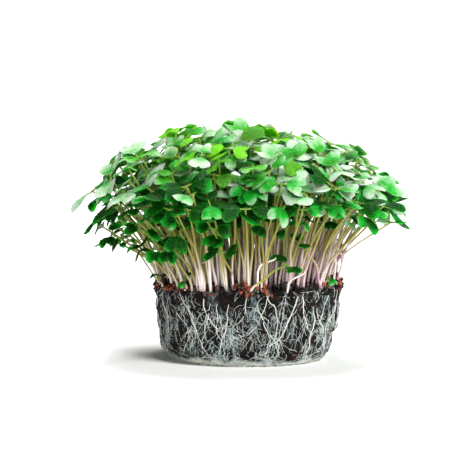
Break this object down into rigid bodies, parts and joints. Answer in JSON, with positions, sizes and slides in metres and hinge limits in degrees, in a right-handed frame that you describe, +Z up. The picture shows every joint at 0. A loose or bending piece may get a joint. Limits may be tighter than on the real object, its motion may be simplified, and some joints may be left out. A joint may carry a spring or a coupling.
{
  "type": "microgreens on a root-bound soil block",
  "caption": "Dense clump of young seedlings with notched seed leaves, rising from a round block of dark growing medium bound by white roots.",
  "frame": {"origin": "centre of the flat root pad that the block stands on, at floor level", "axes": "+Z up along the block's axis, -Y towards the side that the picture shows"},
  "size_m": [0.1799, 0.1633, 0.1281],
  "materials": {
    "soil": "matt, moist and crumbly",
    "root": "matt felted fibre",
    "leafy_stem": "soft waxy sheen"
  },
  "bodies": {
    "root": {"root_pad": "root", "soil_block": "soil", "root_net": "root", "seedling_tuft_01": "leafy_stem", "seedling_tuft_02": "leafy_stem", "seedling_tuft_03": "leafy_stem", "seedling_tuft_04": "leafy_stem", "seedling_tuft_05": "leafy_stem", "seedling_tuft_06": "leafy_stem", "seedling_tuft_07": "leafy_stem", "seedling_tuft_08": "leafy_stem", "seedling_tuft_09": "leafy_stem", "seedling_tuft_10": "leafy_stem", "seedling_tuft_11": "leafy_stem", "seedling_tuft_12": "leafy_stem", "seedling_tuft_13": "leafy_stem", "seedling_tuft_14": "leafy_stem", "seedling_tuft_15": "leafy_stem", "seedling_tuft_16": "leafy_stem", "seedling_tuft_17": "leafy_stem", "seedling_tuft_18": "leafy_stem", "seedling_tuft_19": "leafy_stem", "seedling_tuft_20": "leafy_stem", "seedling_tuft_21": "leafy_stem", "seedling_tuft_22": "leafy_stem", "seedling_tuft_23": "leafy_stem", "seedling_tuft_24": "leafy_stem", "seedling_tuft_25": "leafy_stem", "seedling_tuft_26": "leafy_stem", "seedling_tuft_27": "leafy_stem", "seedling_tuft_28": "leafy_stem", "seedling_tuft_29": "leafy_stem", "seedling_tuft_30": "leafy_stem", "seedling_tuft_31": "leafy_stem", "seedling_tuft_32": "leafy_stem", "seedling_tuft_33": "leafy_stem", "seedling_tuft_34": "leafy_stem", "seedling_tuft_35": "leafy_stem", "seedling_tuft_36": "leafy_stem", "seedling_tuft_37": "leafy_stem", "seedling_tuft_38": "leafy_stem", "seedling_tuft_39": "leafy_stem", "seedling_tuft_40": "leafy_stem", "seedling_tuft_41": "leafy_stem", "seedling_tuft_42": "leafy_stem"}
  },
  "joints": []
}
